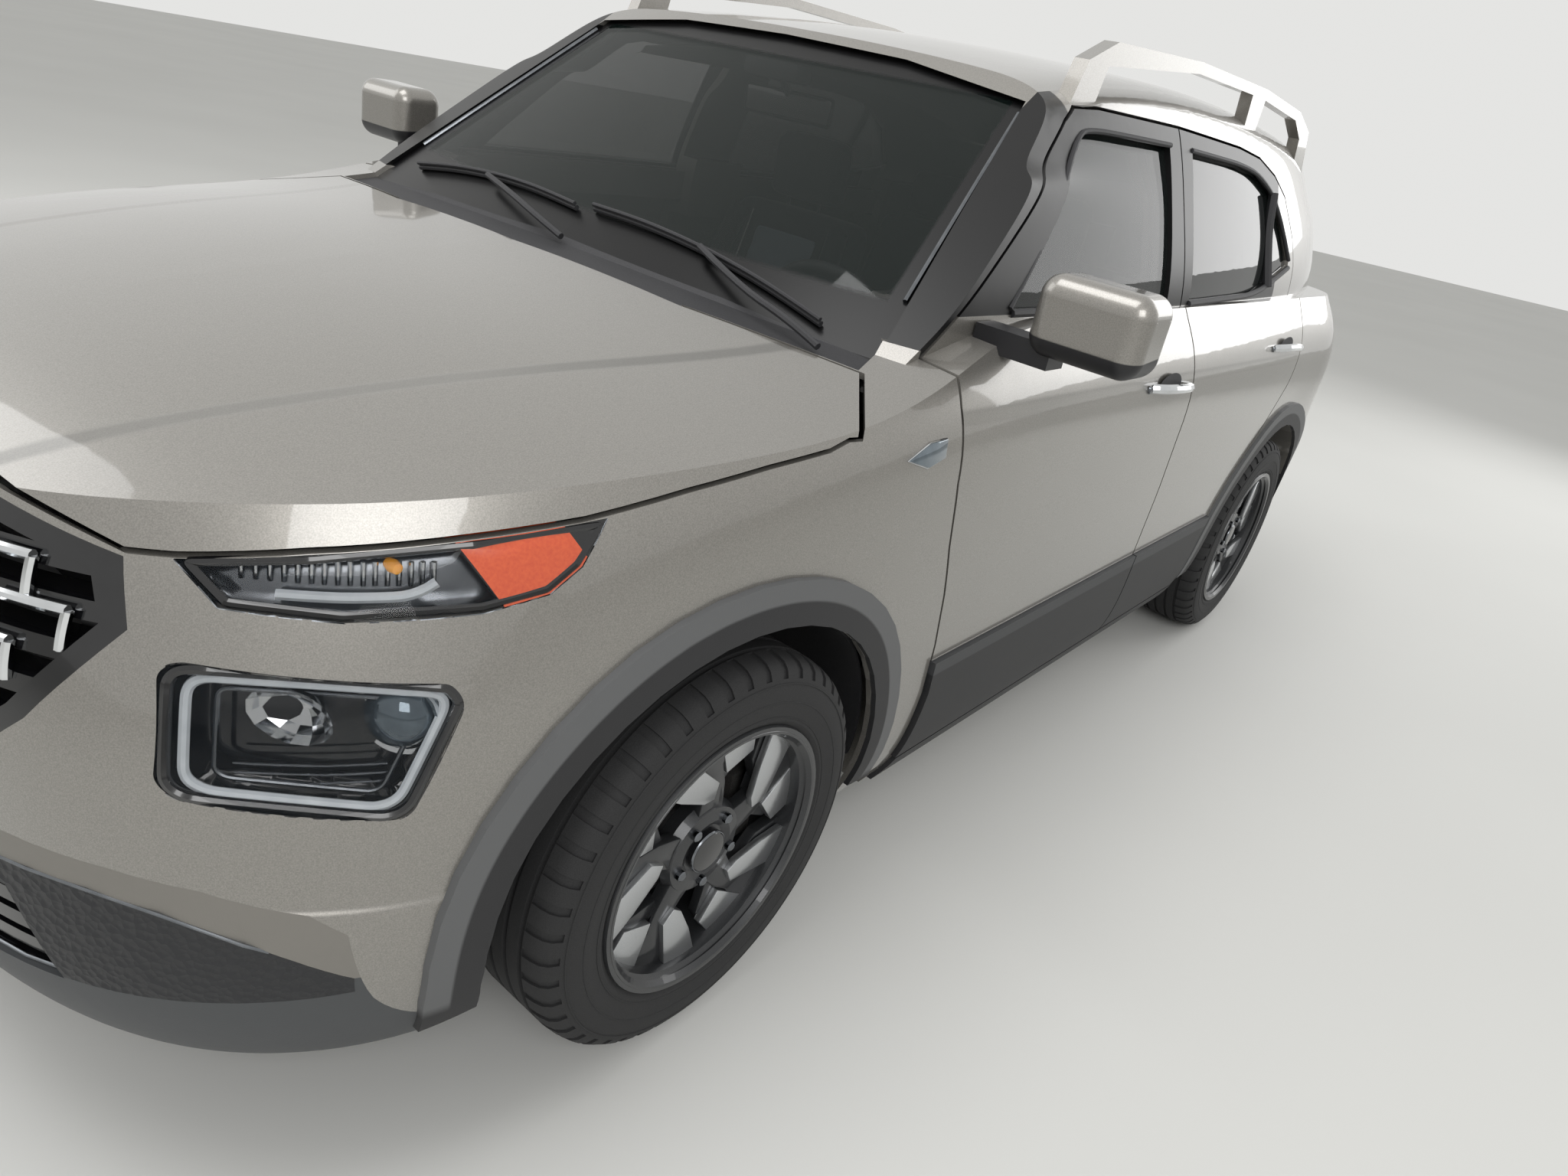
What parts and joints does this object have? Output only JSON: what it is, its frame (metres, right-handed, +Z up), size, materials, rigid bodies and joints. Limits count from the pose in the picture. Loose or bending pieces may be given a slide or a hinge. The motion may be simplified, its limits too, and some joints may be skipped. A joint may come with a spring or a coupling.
{
  "type": "subcompact crossover",
  "caption": "Five-door subcompact crossover with opening doors, bonnet and tailgate, steered front wheels and a full cabin.",
  "frame": {"origin": "on the ground under the middle of the car", "axes": "+X towards the nose, +Y to the car's left, +Z up"},
  "size_m": [4.0404, 2.09, 1.5879],
  "materials": {
    "body_paint": "satin metallic silver paint",
    "dark_trim": "grained dark grey plastic",
    "gloss_black": "gloss black plastic",
    "window_glass": "tinted safety glass",
    "lamp_lens": "clear lamp lens",
    "red_lens": "red lamp lens",
    "tyre_rubber": "matte tyre rubber",
    "wheel_alloy": "machined and painted alloy",
    "chassis_metal": "black chassis paint",
    "cast_metal": "bare casting",
    "seat_fabric": "woven seat fabric",
    "cabin_plastic": "soft grained cabin plastic",
    "exhaust_steel": "dull exhaust steel"
  },
  "bodies": {
    "body": {"body_sides": "body_paint", "front_fenders": "body_paint", "roof": "body_paint", "windscreen": "window_glass", "cowl_panel": "dark_trim", "front_bumper": "body_paint", "front_valance": "dark_trim", "grille": "gloss_black", "rear_bumper": "body_paint", "headlamps": "lamp_lens", "upper_lamps": "lamp_lens", "tail_lamps": "red_lens", "arch_trims": "dark_trim", "roof_rails": "body_paint", "front_seats": "seat_fabric", "front_suspension": "chassis_metal", "front_struts": "chassis_metal", "floor_pan": "chassis_metal", "engine_bay": "chassis_metal", "engine": "cast_metal", "exhaust": "exhaust_steel", "fuel_tank": "chassis_metal", "dashboard": "cabin_plastic", "rear_seat": "seat_fabric", "rear_axle": "chassis_metal"},
    "bonnet": {"bonnet": "body_paint"},
    "tailgate": {"tailgate": "body_paint", "tailgate_glass": "window_glass"},
    "steering_wheel": {"steering_wheel": "cabin_plastic"},
    "door_front_left": {"door_front_left": "body_paint", "glass_front_left": "window_glass", "mirror_left": "body_paint"},
    "door_rear_left": {"door_rear_left": "body_paint", "glass_rear_left": "window_glass"},
    "knuckle_left": {"knuckle_left": "cast_metal"},
    "wheel_front_left": {"wheel_front_left": "wheel_alloy", "tyre_front_left": "tyre_rubber"},
    "wheel_rear_left": {"wheel_rear_left": "wheel_alloy", "tyre_rear_left": "tyre_rubber"},
    "door_front_right": {"door_front_right": "body_paint", "glass_front_right": "window_glass", "mirror_right": "body_paint"},
    "door_rear_right": {"door_rear_right": "body_paint", "glass_rear_right": "window_glass"},
    "knuckle_right": {"knuckle_right": "cast_metal"},
    "wheel_front_right": {"wheel_front_right": "wheel_alloy", "tyre_front_right": "tyre_rubber"},
    "wheel_rear_right": {"wheel_rear_right": "wheel_alloy", "tyre_rear_right": "tyre_rubber"}
  },
  "joints": [
    {"name": "steer_left", "type": "hinge", "parent": "body", "child": "knuckle_left", "pos_m": [1.18, 0.7, 0.328], "axis": [0, 0, 1], "range_deg": [-31, 31]},
    {"name": "steer_right", "type": "hinge", "parent": "body", "child": "knuckle_right", "pos_m": [1.18, -0.7, 0.328], "axis": [0, 0, 1], "range_deg": [-31, 31]},
    {"name": "steering_wheel_turn", "type": "hinge", "parent": "body", "child": "steering_wheel", "pos_m": [0.43, 0.365, 0.905], "axis": [-0.9063, 0, 0.4226], "range_deg": [-466, 466]},
    {"name": "wheel_front_left_spin", "type": "hinge", "parent": "knuckle_left", "child": "wheel_front_left", "pos_m": [1.18, 0.77, 0.328], "axis": [0, 1, 0], "continuous": true},
    {"name": "wheel_rear_left_spin", "type": "hinge", "parent": "body", "child": "wheel_rear_left", "pos_m": [-1.34, 0.77, 0.328], "axis": [0, 1, 0], "continuous": true},
    {"name": "wheel_front_right_spin", "type": "hinge", "parent": "knuckle_right", "child": "wheel_front_right", "pos_m": [1.18, -0.77, 0.328], "axis": [0, 1, 0], "continuous": true},
    {"name": "wheel_rear_right_spin", "type": "hinge", "parent": "body", "child": "wheel_rear_right", "pos_m": [-1.34, -0.77, 0.328], "axis": [0, 1, 0], "continuous": true},
    {"name": "door_front_left_open", "type": "hinge", "parent": "body", "child": "door_front_left", "pos_m": [0.745, 0.869, 0.7], "axis": [0, 0, -1], "range_deg": [0, 65]},
    {"name": "door_rear_left_open", "type": "hinge", "parent": "body", "child": "door_rear_left", "pos_m": [-0.262, 0.869, 0.7], "axis": [0, 0, -1], "range_deg": [0, 68]},
    {"name": "door_front_right_open", "type": "hinge", "parent": "body", "child": "door_front_right", "pos_m": [0.745, -0.869, 0.7], "axis": [0, 0, 1], "range_deg": [0, 65]},
    {"name": "door_rear_right_open", "type": "hinge", "parent": "body", "child": "door_rear_right", "pos_m": [-0.262, -0.869, 0.7], "axis": [0, 0, 1], "range_deg": [0, 68]},
    {"name": "bonnet_open", "type": "hinge", "parent": "body", "child": "bonnet", "pos_m": [0.866, 0, 1], "axis": [0, -1, 0], "range_deg": [0, 45]},
    {"name": "tailgate_open", "type": "hinge", "parent": "body", "child": "tailgate", "pos_m": [-1.746, 0, 1.49], "axis": [0, 1, 0], "range_deg": [0, 80]}
  ],
  "couplings": [
    {"joint": "steer_right", "follows": "steer_left", "ratio": 1},
    {"joint": "steering_wheel_turn", "follows": "steer_left", "ratio": 15}
  ]
}
